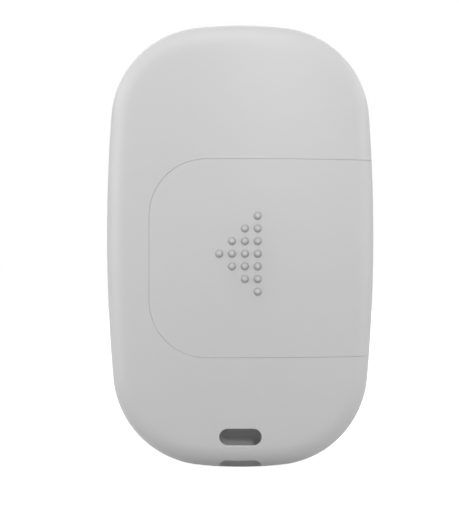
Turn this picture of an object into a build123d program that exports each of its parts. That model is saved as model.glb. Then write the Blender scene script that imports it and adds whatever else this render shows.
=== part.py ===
from build123d import *
import os
from math import asin, degrees, sqrt

# Wireless remote control, a key fob of 61 x 37 x 13 mm, standing on its strap end.
# X runs across the fob, -Y is the back with the battery cover, +Y is the key side,
# and Z runs up the length. The two shells meet in the plane Y = 0.

# Outline of the housing, an oval of end, corner and side arcs
half_width = 18.5
bottom_length = 32.1
top_length = 28.9
end_radius = 61.5
corner_radius = 13.0
side_radius = 238.0
body_length = bottom_length + top_length

# Depth and crown of the two housing halves
back_depth = 6.5
front_depth = 6.5
back_across_radius = 70.0
front_across_radius = 120.0
along_radius = 350.0
edge_radius = 3.6
wall = 1.4

# Lip of the front shell inside the rim of the back shell
lip_height = 0.8
lip_outer = 0.75
lip_gap = 0.1

# Battery cover and the opening that it closes
cover_left = -12.4
cover_bottom = 15.4
cover_height = 26.86
cover_corner = 7.0
cover_wall = 1.1
seam_gap = 0.12
rail_start = -5.0
rail_end_inset = 5.5
rail_width = 0.9
rail_thickness = 0.7
rail_gap = 0.12
hook_inset = 0.5
hook_length = 13.0
hook_thickness = 0.65
leg_thickness = 0.8

# Raised dots on the cover, columns of an arrowhead
dot_columns = (1, 3, 5, 7)
dot_pitch = 1.73
dot_tip_x = -2.88
dot_middle_z = 29.46
dot_radius = 0.535
dot_rise = 0.3
dot_flat_radius = 0.2

# Coin cell of 20 x 3.2 mm and its tray
cell_radius = 10.0
cell_height = 3.2
cell_gap = 0.2
cell_lid_radius = 8.6
cell_lid_thickness = 0.3
cell_seal_width = 0.5
cell_rim = 0.3
ring_gap = 0.2
ring_wall = 0.8
ring_height = 2.4
finger_notch = 8.0
contact_space = 0.5
tray_floor = 0.7
tray_wall = 0.9

# Contacts of the cell, bent from strip
strip_thickness = 0.2
strip_width = 3.0
contact_slot_gap = 0.15
positive_tab_gap = 0.9
negative_tab_inset = 4.5
negative_flat = 2.0
negative_rise = 3.0

# Strap tunnel from the back face down to the strap end
slot_width = 5.74
slot_height = 2.29
slot_z = 4.62
bar_depth = 1.95
tunnel_bend = 2.0
tunnel_wall = 0.9

# Circuit board
board_thickness = 0.8
board_gap = 0.9
board_bottom = 9.0

# Keys, two by two
key_width = 11.6
key_pitch = 13.0
key_corner = 3.2
key_grid_z = 34.0
key_gap = 0.15
key_rise = 0.4
key_wall = 1.2
key_edge = 0.5
key_travel = 0.3
flange_width = 0.5
flange_thickness = 0.7
flange_gap = 0.2
stem_radius = 1.4

# Tactile switches under the keys
switch_width = 4.5
switch_height = 1.4
plate_width = 4.2
plate_thickness = 0.15
plate_hole = 1.3
plunger_radius = 1.0
plunger_gap = 0.05
plunger_depth = 0.5
switch_floor = 0.45

# Status light
led_z = 52.5
led_width = 1.6
led_depth = 0.8
led_height = 0.6
pipe_radius = 1.2
pipe_flange = 0.5
pipe_flange_height = 0.6
pipe_gap = 0.05
pipe_clear = 0.2

# Chips on the board
radio_size = 5.0
radio_height = 0.85
radio_x = -3.0
radio_z = 15.5
crystal_size = (3.2, 2.5, 0.7)
crystal_x = 3.5
antenna_size = (9.0, 2.0, 1.1)
antenna_x = 3.0
antenna_z = 11.2
chip_size = (1.0, 0.5, 0.5)
chip_pitch = 1.3
capacitor_count = 5
resistor_count = 4
capacitor_z = 20.5
resistor_z = 47.8

# Case screws under the cover, into bosses of the front shell
screw_from_side = 3.6
screw_inset = 3.9
screw_head_radius = 1.4
screw_head_height = 0.9
screw_radius = 0.7
screw_length = 3.8
screw_gap = 0.15
thread_gap = 0.02
boss_radius = 1.6
boss_gap = 0.3
post_radius = 1.0
post_x = 10.5
post_z = (14.0, 50.0)

# Places worked out from the sizes above
cover_top = cover_bottom + cover_height
cell_z = cover_bottom + cover_height / 2
rail_end = half_width - rail_end_inset
hook_start = rail_start + hook_inset
positive_tab_x = -cell_radius - positive_tab_gap
negative_tab_x = negative_tab_inset - cell_radius
tunnel_end_y = bar_depth + slot_height / 2 - back_depth
screw_x = half_width - screw_from_side
flange_reach = (key_pitch + key_width) / 2 + flange_width
screw_places = [(screw_x, cover_bottom + screw_inset), (screw_x, cover_top - screw_inset)]
key_places = {
    "lock_key": (-1, 1),
    "unlock_key": (1, 1),
    "home_key": (-1, -1),
    "alert_key": (1, -1),
}


def crown_drop(x, z, across_radius):
    """How far the crowned face has fallen at (x, z) from its highest point."""
    across = across_radius - sqrt(across_radius**2 - x**2)
    reach = along_radius - across
    return along_radius - sqrt(reach**2 - (z - body_length / 2) ** 2)


cell_back = -(back_depth - cover_wall - cell_gap - crown_drop(cell_radius, cell_z, back_across_radius))
cell_front = cell_back + cell_height
floor_back = cell_front + contact_space
board_back = floor_back + tray_floor
board_front = board_back + board_thickness
switch_top = board_front + switch_height
plunger_top = switch_top + plunger_depth
cover_underside = back_depth - cover_wall - crown_drop(rail_end, cover_top, back_across_radius)
rail_depth = cover_underside - rail_gap
flange_drop = crown_drop(flange_reach, key_grid_z + flange_reach, front_across_radius)
flange_seat = front_depth - wall - flange_drop - flange_gap


def corner_centre(half_length):
    """Centre of the corner arc, which touches the end arc and the side arc from inside."""
    end_centre = Vector(0, half_length - end_radius)
    side_centre = Vector(half_width - side_radius, 0)
    to_end = end_radius - corner_radius
    to_side = side_radius - corner_radius
    between = side_centre - end_centre
    span = between.length
    along = (to_end**2 - to_side**2 + span**2) / (2 * span)
    across = sqrt(to_end**2 - along**2)
    unit = between.normalized()
    turned = Vector(unit.Y, -unit.X)
    first = end_centre + unit * along + turned * across
    second = end_centre + unit * along - turned * across
    return first if first.X > second.X else second


def quarter_points(half_length, inset):
    """Points of a quarter outline: end of the end arc, middle and end of the corner arc."""
    corner = corner_centre(half_length)
    end_centre = Vector(0, half_length - end_radius)
    side_centre = Vector(half_width - side_radius, 0)
    from_end = (corner - end_centre).normalized()
    from_side = (corner - side_centre).normalized()
    radius = corner_radius - inset
    middle = (from_end + from_side).normalized()
    return [corner + from_end * radius, corner + middle * radius, corner + from_side * radius]


def oval(inset=0.0):
    """Outline of the housing, moved inwards by the inset, as eight tangent arcs."""
    top = quarter_points(top_length, inset)
    bottom = [Vector(p.X, -p.Y) for p in quarter_points(bottom_length, inset)]
    right = half_width - inset
    apex = top_length - inset
    foot = inset - bottom_length
    left_top = [Vector(-p.X, p.Y) for p in top]
    left_bottom = [Vector(-p.X, p.Y) for p in bottom]
    arcs = [
        ThreePointArc(left_top[0], (0, apex), top[0]),
        ThreePointArc(top[0], top[1], top[2]),
        ThreePointArc(top[2], (right, 0), bottom[2]),
        ThreePointArc(bottom[2], bottom[1], bottom[0]),
        ThreePointArc(bottom[0], (0, foot), left_bottom[0]),
        ThreePointArc(left_bottom[0], left_bottom[1], left_bottom[2]),
        ThreePointArc(left_bottom[2], (-right, 0), left_top[2]),
        ThreePointArc(left_top[2], left_top[1], left_top[0]),
    ]
    return Pos(0, bottom_length) * make_face(arcs)


def slab(sketch, y_from, y_to):
    """Solid between two Y planes over a sketch drawn in X and Z."""
    return extrude(Plane.XZ.offset(-y_to) * sketch, amount=y_to - y_from)


def barrel(depth, across_radius, inset):
    """Crowned block whose outer face is round across and, more gently, along the fob."""
    reach = half_width + wall
    radius = across_radius - inset
    centre_y = depth - across_radius
    edge_y = centre_y + sqrt(radius**2 - reach**2)
    peak_y = centre_y + radius**2 / (edge_y - centre_y)
    below = -depth
    weights = [1, (edge_y - centre_y) / radius, 1]
    crown = Bezier((-reach, edge_y), (0, peak_y), (reach, edge_y), weights=weights)
    profile = make_face(
        [
            crown,
            Line((reach, edge_y), (reach, below)),
            Line((reach, below), (-reach, below)),
            Line((-reach, below), (-reach, edge_y)),
        ]
    )
    middle = body_length / 2
    axis = Axis((0, depth - along_radius, middle), (1, 0, 0))
    half_angle = degrees(asin(body_length / 2 / (along_radius - 2 * depth))) + 1
    start = (Pos(0, 0, middle) * profile).rotate(axis, -half_angle)
    return revolve(start, axis, 2 * half_angle)


def half_pebble(side, inset=0.0, past=0.0):
    """One half of the rounded housing form: side 1 is the front and -1 the back.

    The past value carries the half beyond the plane where the halves meet."""
    depth = front_depth if side > 0 else back_depth
    across_radius = front_across_radius if side > 0 else back_across_radius
    block = slab(oval(inset), -past, depth + wall) & barrel(depth, across_radius, inset)
    rim = block.faces().sort_by(Axis.Y)[-1].edges()
    rounded = fillet(rim, edge_radius - inset)
    return rounded if side > 0 else mirror(rounded, about=Plane.XZ)


def cover_outline(gap):
    """Outline of the cover opening, drawn in by the gap, and open past the right side."""
    left = cover_left + gap
    right = half_width + wall
    low = cover_bottom + gap
    high = cover_top - gap
    sheet = Pos((left + right) / 2, (low + high) / 2) * Rectangle(right - left, high - low)
    return fillet(sheet.vertices().group_by(Axis.X)[0], cover_corner - gap)


def span_rectangle(x_from, x_to, z_from, z_to):
    """Rectangle between two places across and two along the fob."""
    middle = Pos((x_from + x_to) / 2, (z_from + z_to) / 2)
    return middle * Rectangle(x_to - x_from, z_to - z_from)


def both_edges(sketch):
    """A sketch made at the cover's upper edge, and its mirror image at the lower edge."""
    return sketch + mirror(sketch, about=Plane.XZ.offset(-cell_z))


def lip_ring(gap):
    """Ring in the housing wall that the lip of the front shell fills, widened by the gap."""
    ring = oval(lip_outer - gap) - oval(wall + gap)
    return slab(ring, -lip_height - gap, wall)


def tunnel():
    """Strap tunnel, from the slot in the back round a quarter bend to the strap end."""
    turn_y = tunnel_end_y - tunnel_bend
    slot = Pos(0, slot_z) * SlotOverall(slot_width, slot_height)
    inward = slab(slot, -back_depth, turn_y)
    bend_axis = Axis((0, turn_y, slot_z - tunnel_bend), (-1, 0, 0))
    bend = revolve(Plane.XZ.offset(-turn_y) * slot, bend_axis, 90)
    mouth = Pos(0, tunnel_end_y, -wall) * SlotOverall(slot_width, slot_height)
    down = extrude(mouth, amount=slot_z - tunnel_bend + wall)
    return inward + bend + down


def tunnel_block():
    """Material round the strap tunnel, with its inner corner rounded like the bend."""
    top = slot_z + slot_height / 2 + tunnel_wall
    inner = tunnel_end_y + slot_height / 2 + tunnel_wall
    width = slot_width + 2 * tunnel_wall
    block = Box(width, back_depth + inner, top, align=(Align.CENTER, Align.MIN, Align.MIN))
    block = Pos(0, -back_depth, 0) * block
    corner = block.edges().filter_by(Axis.X).sort_by(Axis.Y)[-2:].sort_by(Axis.Z)[-1]
    rounded = fillet(corner, tunnel_bend + slot_height / 2)
    return rounded & half_pebble(-1, wall / 2)


def strip_slots():
    """Places, as X ranges, where the two contacts pass the tray floor and the board."""
    reach = strip_thickness / 2 + contact_slot_gap
    return [(x - reach, x + reach) for x in (positive_tab_x, negative_tab_x)]


def cell_tray():
    """Tray of the coin cell: floor, wall round the opening, cell ring and cover rails."""
    outer = cover_outline(-tray_wall)
    inside = oval(wall + lip_gap)
    floor = slab(outer & inside, floor_back, board_back)
    side = slab(outer - cover_outline(0), -back_depth, floor_back) & half_pebble(-1, wall / 2)
    ring_inner = cell_radius + ring_gap
    ring = Circle(ring_inner + ring_wall) - Circle(ring_inner)
    notch = Pos(ring_inner, 0) * Rectangle(2 * ring_wall + ring_inner / 2, finger_notch)
    leaf = Pos(-ring_inner, 0) * Rectangle(2 * ring_wall + ring_inner / 2, strip_width + 2 * ring_gap)
    ring = Pos(0, cell_z) * (ring - notch - leaf)
    tray = floor + side + slab(ring, floor_back - ring_height, floor_back)
    rail = span_rectangle(rail_start, rail_end, cover_top - rail_width, cover_top + tray_wall / 2)
    tray += slab(both_edges(rail), -rail_depth, rail_thickness - rail_depth)
    for x_from, x_to in strip_slots():
        half = strip_width / 2 + contact_slot_gap
        tray -= slab(span_rectangle(x_from, x_to, cell_z - half, cell_z + half), floor_back, board_back)
    for x, z in screw_places:
        tray -= slab(Pos(x, z) * Circle(screw_radius + screw_gap), floor_back, board_back)
    return tray


def back_shell():
    """Back half of the housing, open for the cover, with the cell tray and strap tunnel."""
    shell = half_pebble(-1) - half_pebble(-1, wall, wall)
    shell -= slab(cover_outline(0), -back_depth, 0)
    shell = shell + cell_tray() + tunnel_block()
    return shell - tunnel() - lip_ring(lip_gap)


def dome(x, z):
    """Ball of one raised dot, which the plane of all the flat tips cuts off."""
    drop = crown_drop(x, z, back_across_radius)
    height = dot_rise + drop
    sunk = (dot_radius**2 - dot_flat_radius**2 - height**2) / (2 * height)
    return Pos(x, drop - back_depth + sunk, z) * Sphere(sqrt(dot_radius**2 + sunk**2))


def dots():
    """Arrowhead of raised dots, with its tip to the left."""
    found = []
    for column, count in enumerate(dot_columns):
        x = dot_tip_x + column * dot_pitch
        for row in range(count):
            found.append(dome(x, dot_middle_z + (row - (count - 1) / 2) * dot_pitch))
    return found


def battery_cover():
    """Cover that slides off to the right, with hooks under the rails and raised dots."""
    lid = slab(cover_outline(seam_gap), -back_depth - dot_rise, -seam_gap)
    cover = half_pebble(-1) & lid
    cover = cover + [dot & lid for dot in dots()]
    cover -= half_pebble(-1, cover_wall, wall)
    reach = cell_radius + cell_gap
    relief = span_rectangle(cover_left, reach, cell_z - reach, cell_z + reach)
    cover -= slab(relief, cell_back - cell_gap, 0)
    leg_top = cover_top - rail_width - rail_gap
    hook_top = cover_top - rail_gap
    hook_end = hook_start + hook_length
    leg = span_rectangle(hook_start, hook_end, leg_top - leg_thickness, leg_top)
    hook = span_rectangle(hook_start, hook_end, leg_top - leg_thickness, hook_top)
    hook_back = rail_thickness + rail_gap - rail_depth
    legs = slab(both_edges(leg), -back_depth, hook_back) & half_pebble(-1, cover_wall / 2)
    legs += slab(both_edges(hook), hook_back, hook_back + hook_thickness)
    return cover + legs - lip_ring(lip_gap)


def key_outline(name, grow):
    """Rounded square of one key, widened all round by the given amount."""
    column, row = key_places[name]
    place = Pos(column * key_pitch / 2, key_grid_z + row * key_pitch / 2)
    width = key_width + 2 * grow
    return place * RectangleRounded(width, width, key_corner + grow)


def key_centre(name):
    """Place of one key's centre across and along the fob."""
    column, row = key_places[name]
    return column * key_pitch / 2, key_grid_z + row * key_pitch / 2


def key_cap(name):
    """Hollow key cap, crowned like the housing, with a retaining flange and a stem."""
    bottom = flange_seat - flange_thickness
    top = front_depth + 2 * key_rise
    face = barrel(front_depth, front_across_radius, -key_rise)
    underside = barrel(front_depth, front_across_radius, key_wall - key_rise)
    cap = slab(key_outline(name, 0), bottom, top) & face
    cap = fillet(cap.faces().sort_by(Axis.Y)[-1].edges(), key_edge)
    cap += slab(key_outline(name, flange_width), bottom, flange_seat)
    cap -= slab(key_outline(name, -key_wall), bottom, top) & underside
    stem = slab(Pos(*key_centre(name)) * Circle(stem_radius), plunger_top, top)
    return cap + (stem & barrel(front_depth, front_across_radius, key_wall / 2))


def front_shell():
    """Front half of the housing, with the key openings, light hole, lip, bosses and posts."""
    shell = half_pebble(1) - half_pebble(1, wall, wall)
    shell += lip_ring(0)
    inside = half_pebble(1, wall / 2, wall)
    bosses = Sketch() + [Pos(x, z) * Circle(boss_radius) for x, z in screw_places]
    shell += slab(bosses, board_back, front_depth) & inside
    posts = [Pos(x, z) * Circle(post_radius) for x in (-post_x, post_x) for z in post_z]
    shell += slab(Sketch() + posts, board_front, front_depth) & inside
    for x, z in screw_places:
        hole = Pos(x, z) * Circle(screw_radius + thread_gap)
        shell -= slab(hole, board_back, floor_back + screw_length + screw_gap)
    for name in key_places:
        shell -= slab(key_outline(name, key_gap), board_front, front_depth)
    return shell - slab(Pos(0, led_z) * Circle(pipe_radius + pipe_gap), board_front, front_depth)


def case_screws():
    """Two pan-head screws that hold the housing halves together from inside the opening."""
    screws = []
    for x, z in screw_places:
        head = slab(Pos(x, z) * Circle(screw_head_radius), floor_back - screw_head_height, floor_back)
        head = fillet(head.faces().sort_by(Axis.Y)[0].edges(), screw_head_height / 2)
        screws.append(head + slab(Pos(x, z) * Circle(screw_radius), floor_back, floor_back + screw_length))
    return Compound(children=screws)


def coin_cell_can():
    """Positive can of the coin cell, a cup that faces the cover."""
    disc = slab(Pos(0, cell_z) * Circle(cell_radius), cell_back, cell_front)
    disc = fillet(disc.faces().sort_by(Axis.Y)[0].edges(), cell_rim)
    mouth = Pos(0, cell_z) * Circle(cell_lid_radius + cell_seal_width)
    return disc - slab(mouth, cell_front - cell_lid_thickness, cell_front)


def coin_cell_seal():
    """Plastic seal ring between the can and the lid."""
    ring = Circle(cell_lid_radius + cell_seal_width) - Circle(cell_lid_radius)
    return slab(Pos(0, cell_z) * ring, cell_front - cell_lid_thickness, cell_front)


def coin_cell_lid():
    """Negative lid of the coin cell, on the side of the board."""
    return slab(Pos(0, cell_z) * Circle(cell_lid_radius), cell_front - cell_lid_thickness, cell_front)


def strip(points):
    """Sheet strip bent along points in X and Y, centred on the cell along the fob."""
    path = trace(Polyline(points), strip_thickness)
    return Pos(0, 0, cell_z - strip_width / 2) * extrude(path, amount=strip_width)


def positive_contact():
    """Spring leaf that presses on the side of the can through a gap in the cell ring."""
    touch = -cell_radius - strip_thickness / 2 - thread_gap
    points = [
        (positive_tab_x, board_front),
        (positive_tab_x, cell_front),
        (touch, (cell_back + cell_front) / 2),
        (positive_tab_x, cell_back + strip_thickness),
    ]
    return strip(points)


def negative_contact():
    """Spring strip that rises from the tray floor to the lid of the cell."""
    low = floor_back - strip_thickness / 2 - thread_gap
    high = cell_front + strip_thickness / 2 + thread_gap
    points = [
        (negative_tab_x, board_front),
        (negative_tab_x, low),
        (negative_tab_x + negative_flat, low),
        (negative_tab_x + negative_flat + negative_rise, high),
        (negative_tab_x + 2 * negative_flat + negative_rise, high),
        (negative_tab_x + 2 * negative_flat + 2 * negative_rise, low),
    ]
    return strip(points)


def circuit_board():
    """Board that follows the housing, with notches for the bosses and the contact slots."""
    sheet = oval(wall + board_gap)
    sheet -= Pos(0, board_bottom - bottom_length) * Rectangle(2 * half_width, 2 * bottom_length)
    for x, z in screw_places:
        sheet -= Pos(x, z) * Circle(boss_radius + boss_gap)
        reach = boss_radius + boss_gap
        sheet -= span_rectangle(x, x + reach + wall, z - reach, z + reach)
    for x_from, x_to in strip_slots():
        half = strip_width / 2 + contact_slot_gap
        sheet -= span_rectangle(x_from, x_to, cell_z - half, cell_z + half)
    return slab(sheet, board_back, board_front)


def on_board(width, length, height, x, z):
    """Rectangular part that stands on the key side of the board."""
    return slab(Pos(x, z) * Rectangle(width, length), board_front, board_front + height)


def chip_row(count, z):
    """Row of small two-ended chips across the board."""
    width, length, height = chip_size
    places = [(n - (count - 1) / 2) * chip_pitch for n in range(count)]
    return Compound(children=[on_board(length, width, height, x, z) for x in places])


def switch_body(name):
    """Moulded base of one tactile switch, with the well of its plunger."""
    x, z = key_centre(name)
    well = Pos(x, z) * Circle(plunger_radius + plunger_gap)
    body = on_board(switch_width, switch_width, switch_height, x, z)
    return body - slab(well, board_front + switch_floor, switch_top)


def switch_plate(name):
    """Sheet metal cover of one tactile switch, with the hole for its plunger."""
    place = Pos(*key_centre(name))
    sheet = place * Rectangle(plate_width, plate_width) - place * Circle(plate_hole)
    return slab(sheet, switch_top, switch_top + plate_thickness)


def switch_plunger(name):
    """Plunger of one tactile switch, free to sink by the travel of the key."""
    bottom = board_front + switch_floor + key_travel + plunger_gap
    return slab(Pos(*key_centre(name)) * Circle(plunger_radius), bottom, plunger_top)


def status_led():
    """Status light chip under the light pipe."""
    return on_board(led_width, led_depth, led_height, 0, led_z)


def light_pipe():
    """Clear pipe from the light chip to the face of the front shell."""
    place = Pos(0, led_z)
    low = board_front + led_height + pipe_clear
    seat = front_depth - wall - crown_drop(0, led_z + pipe_radius, front_across_radius) - pipe_clear
    rod = slab(place * Circle(pipe_radius), low, front_depth) & half_pebble(1)
    return rod + slab(place * Circle(pipe_radius + pipe_flange), seat - pipe_flange_height, seat)


def pieces():
    """Every piece of the fob by its name."""
    made = {
        "back_shell": back_shell(),
        "front_shell": front_shell(),
        "battery_cover": battery_cover(),
        "coin_cell_can": coin_cell_can(),
        "coin_cell_seal": coin_cell_seal(),
        "coin_cell_lid": coin_cell_lid(),
        "positive_contact": positive_contact(),
        "negative_contact": negative_contact(),
        "circuit_board": circuit_board(),
        "radio_chip": on_board(radio_size, radio_size, radio_height, radio_x, radio_z),
        "crystal": on_board(*crystal_size, crystal_x, radio_z),
        "chip_antenna": on_board(*antenna_size, antenna_x, antenna_z),
        "capacitors": chip_row(capacitor_count, capacitor_z),
        "resistors": chip_row(resistor_count, resistor_z),
        "status_led": status_led(),
        "light_pipe": light_pipe(),
        "case_screws": case_screws(),
    }
    for name in key_places:
        made[name] = key_cap(name)
        switch = name.replace("key", "switch")
        made[switch + "_body"] = switch_body(name)
        made[switch + "_plate"] = switch_plate(name)
        made[switch + "_plunger"] = switch_plunger(name)
    return made


os.makedirs("parts", exist_ok=True)
for piece_name, piece in pieces().items():
    export_step(piece, "parts/" + piece_name + ".step")
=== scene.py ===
import math
import bpy
import bmesh
import numpy as np
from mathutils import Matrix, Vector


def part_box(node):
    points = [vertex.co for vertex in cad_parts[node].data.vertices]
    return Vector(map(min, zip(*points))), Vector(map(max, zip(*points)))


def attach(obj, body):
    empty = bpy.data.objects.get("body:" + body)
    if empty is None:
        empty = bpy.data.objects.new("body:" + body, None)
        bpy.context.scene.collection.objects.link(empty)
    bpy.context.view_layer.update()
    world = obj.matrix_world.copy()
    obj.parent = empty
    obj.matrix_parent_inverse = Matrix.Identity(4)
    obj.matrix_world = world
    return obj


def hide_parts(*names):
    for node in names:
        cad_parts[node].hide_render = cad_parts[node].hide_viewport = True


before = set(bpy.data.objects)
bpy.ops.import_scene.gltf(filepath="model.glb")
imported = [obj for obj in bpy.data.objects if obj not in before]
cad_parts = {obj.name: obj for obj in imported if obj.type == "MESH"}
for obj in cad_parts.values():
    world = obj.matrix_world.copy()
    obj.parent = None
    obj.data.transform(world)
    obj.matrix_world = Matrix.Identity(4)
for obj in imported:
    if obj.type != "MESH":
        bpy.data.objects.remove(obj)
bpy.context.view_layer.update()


# Camera: straight on to the back of the fob, level with it, as in the photograph. The
# outline's middle and length in the frame give the aim and the lens. The distance is the
# one that shows the crowned back as large against its outline as the photograph does.
photo_width = 459
photo_height = 505
outline_middle_px = (240.2, 246.15)
outline_length_px = 440.3
fob_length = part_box("front_shell")[1].z
metres_per_px = fob_length / outline_length_px
view_distance = 0.16
# The outline lies on the rolled edge, this much nearer than the parting plane.
outline_depth = 0.0018
camera_data = bpy.data.cameras.new("camera")
camera = bpy.data.objects.new("camera", camera_data)
bpy.context.scene.collection.objects.link(camera)
aim_x = (photo_width / 2 - outline_middle_px[0]) * metres_per_px
aim_z = fob_length / 2 - (photo_height / 2 - outline_middle_px[1]) * metres_per_px
camera.location = (aim_x, -view_distance, aim_z)
camera.rotation_euler = (math.pi / 2, 0, 0)
camera_data.sensor_fit = "VERTICAL"
camera_data.sensor_height = 36
outline_distance = view_distance - outline_depth
camera_data.lens = camera_data.sensor_height * outline_distance / (photo_height * metres_per_px)
camera_data.clip_start = 0.01
bpy.context.scene.camera = camera
bpy.context.scene.view_settings.view_transform = "Standard"


# Backdrop and lamps: a white void and a sheet of paper under the fob, a key lamp above and
# to the right, and soft lamps all round. The void and the paper light the fob less than
# they show, so that they are white and the fob isn't.
class Shade:
    """A socket of a node tree. Sums of such sockets add Math nodes to their tree."""

    def __init__(self, tree, socket=None):
        self.tree = tree
        self.socket = socket

    def add(self, kind, settings, inputs, output=0):
        """A node of this kind: its settings are made first, then its sockets are set or linked."""
        made = self.tree.nodes.new(kind)
        for name, value in settings.items():
            setattr(made, name, value)
        for name, value in inputs.items():
            if isinstance(value, Shade):
                self.tree.links.new(value.socket, made.inputs[name])
            else:
                made.inputs[name].default_value = value
        return Shade(self.tree, made.outputs[output] if made.outputs else None)

    def maths(self, operation, *values):
        """A Math node with this operation on these values and sockets."""
        return self.add("ShaderNodeMath", {"operation": operation}, dict(enumerate(values)))

    def __add__(self, other):
        return self.maths("ADD", self, other)

    __radd__ = __add__

    def __mul__(self, other):
        return self.maths("MULTIPLY", self, other)

    __rmul__ = __mul__

    def __sub__(self, other):
        return self.maths("SUBTRACT", self, other)

    def __rsub__(self, other):
        return self.maths("SUBTRACT", other, self)

    def blend(self, first, second):
        """The second colour where this mask is 1, and the first where it is 0."""
        mix = {"data_type": "RGBA"}
        return self.add("ShaderNodeMix", mix, {0: self, 6: first, 7: second}, output=2)


def seen_white(tree):
    """Mask of the rays that see the backdrop itself: straight, mirrored or through glass."""
    straight, mirrored, through = [
        tree.add("ShaderNodeLightPath", {}, {}, output="Is %s Ray" % kind)
        for kind in ("Camera", "Glossy", "Transmission")
    ]
    return tree.maths("MAXIMUM", straight, tree.maths("MAXIMUM", mirrored, through))


void_light = 0.08
world = bpy.data.worlds.new("white void")
bpy.context.scene.world = world
world.use_nodes = True
world.node_tree.nodes.clear()
void = Shade(world.node_tree)
strength = void_light + (1.0 - void_light) * seen_white(void)
glow = void.add("ShaderNodeBackground", {}, {"Color": (1, 1, 1, 1), "Strength": strength})
void.add("ShaderNodeOutputWorld", {}, {"Surface": glow})

floor_half = 2.0
floor_colour = (0.5, 0.5, 0.5, 1)
floor_lift = 0.955
floor_mesh = bpy.data.meshes.new("floor")
floor_corners = floor_half * np.array([[-1, -1, 0], [1, -1, 0], [1, 1, 0], [-1, 1, 0]])
floor_mesh.from_pydata(floor_corners, [], [[0, 1, 2, 3]])
floor = bpy.data.objects.new("floor", floor_mesh)
bpy.context.scene.collection.objects.link(floor)
paper = bpy.data.materials.new("white paper")
paper.use_nodes = True
paper.node_tree.nodes.clear()
sheet = Shade(paper.node_tree)
lit = sheet.add("ShaderNodeBsdfDiffuse", {}, {"Color": floor_colour})
lift = floor_lift * seen_white(sheet)
lifted = sheet.add("ShaderNodeEmission", {}, {"Color": (1, 1, 1, 1), "Strength": lift})
both = sheet.add("ShaderNodeAddShader", {}, {0: lit, 1: lifted})
sheet.add("ShaderNodeOutputMaterial", {}, {"Surface": both})
floor_mesh.materials.append(paper)

# Each lamp has a name, its turn round the fob and its height in degrees, its distance and
# width in metres, and its power in watts. All of them face the middle of the fob.
lamp_aim = np.array([0.0, 0.0, 0.0305])
for lamp_name, turn, height, distance, size, power in (
    ("key lamp", 14, 26.5, 0.25, 0.02, 0.220),
    ("upper lamp", 0, 55, 0.30, 0.20, 0.268),
    ("top lamp", 0, 78, 0.30, 0.20, 0.152),
    ("upper left lamp", -80, 27, 0.30, 0.20, 0.117),
    ("left lamp", -80, 5, 0.30, 0.20, 0.403),
    ("right lamp", 80, 5, 0.30, 0.20, 0.268),
    ("rear lamp", 180, 20, 0.40, 0.30, 0.640),
    ("left rim lamp", -115, 25, 0.30, 0.06, 0.063),
    ("right rim lamp", 115, 25, 0.30, 0.06, 0.083),
):
    lamp_data = bpy.data.lights.new(lamp_name, "AREA")
    lamp_data.size = size
    lamp_data.energy = power
    lamp = bpy.data.objects.new(lamp_name, lamp_data)
    bpy.context.scene.collection.objects.link(lamp)
    side = math.radians(turn)
    up = math.radians(height)
    away = (math.sin(side) * math.cos(up), -math.cos(side) * math.cos(up), math.sin(up))
    lamp.location = lamp_aim + distance * np.array(away)
    lamp.rotation_euler = (math.pi / 2 - up, 0, side)


# Front shell: the key side of the housing, injection moulded in light grey plastic with a
# fine spark-eroded texture. Its outer face is a thin skin worked out here, laid on the
# packed shell, which keeps the inside. Lengths are in millimetres up to place_mesh.
def new_finish(name):
    """A material, and the shade that its nodes start from."""
    material = bpy.data.materials.new(name)
    material.use_nodes = True
    material.node_tree.nodes.clear()
    return material, Shade(material.node_tree)


def surface(tree, sockets):
    """The one principled surface of a material, with these values and links."""
    shader = tree.add("ShaderNodeBsdfPrincipled", {}, sockets)
    tree.add("ShaderNodeOutputMaterial", {}, {"Surface": shader})


def noise(tree, scale, detail=2.0, stretch=(1, 1, 1)):
    """Noise from 0 to 1 on the piece itself, with this many swings per metre."""
    place = tree.add("ShaderNodeTexCoord", {}, {}, output="Object")
    place = tree.add("ShaderNodeMapping", {}, {"Vector": place, "Scale": stretch})
    return tree.add("ShaderNodeTexNoise", {}, {"Vector": place, "Scale": scale, "Detail": detail})


grain_scale = 5500.0
grain_height = 0.000004
# Painted shade: how dark the plastic is made where its painted shade is full.
painted_shade_share = 0.4


def moulded(name, colour, roughness):
    """Moulded plastic: slow changes of tone from the flow of the melt, and a fine grain that
    the spark-eroded mould leaves, which shows in relief and in gloss. Where a piece carries
    painted shade, standing in for shade in hollows and corners, the plastic is darker."""
    material, tree = new_finish(name)
    flow = noise(tree, 60.0, 3.0)
    grain = noise(tree, grain_scale)
    # The first two tones are the melt's flow; the third is the painted shade.
    shades = (0.985, 1.015, painted_shade_share)
    tones = [tuple(shade * part for part in colour) + (1,) for shade in shades]
    # Painted shade: a point attribute, laid on in hollows, that darkens the base colour where
    # shade falls.
    painted_shade = tree.add("ShaderNodeAttribute", {"attribute_name": "painted_shade"}, {}, output="Fac")
    relief = {"Height": grain, "Distance": grain_height, "Strength": 1.0}
    surface(tree, {
        "Base Color": painted_shade.blend(flow.blend(*tones[:2]), tones[2]),
        "Roughness": grain * 0.10 + flow * 0.04 + (roughness - 0.07),
        "IOR": 1.49,
        "Normal": tree.add("ShaderNodeBump", {}, relief),
    })
    return material


housing_finish = moulded("light grey housing plastic", (0.602, 0.602, 0.602), 0.5)
millimetre = 0.001
half_width = 18.5
bottom_length = 32.1
top_length = 28.9
end_radius = 61.5
corner_radius = 13.0
side_radius = 238.0
along_radius = 350.0
edge_radius = 3.6
body_middle = (bottom_length + top_length) / 2
# Each face: the height of its crown over the parting plane, and its radius across.
front_face = (6.5, 120.0)
back_face = (6.5, 70.0)
parting_round = 0.1


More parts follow.
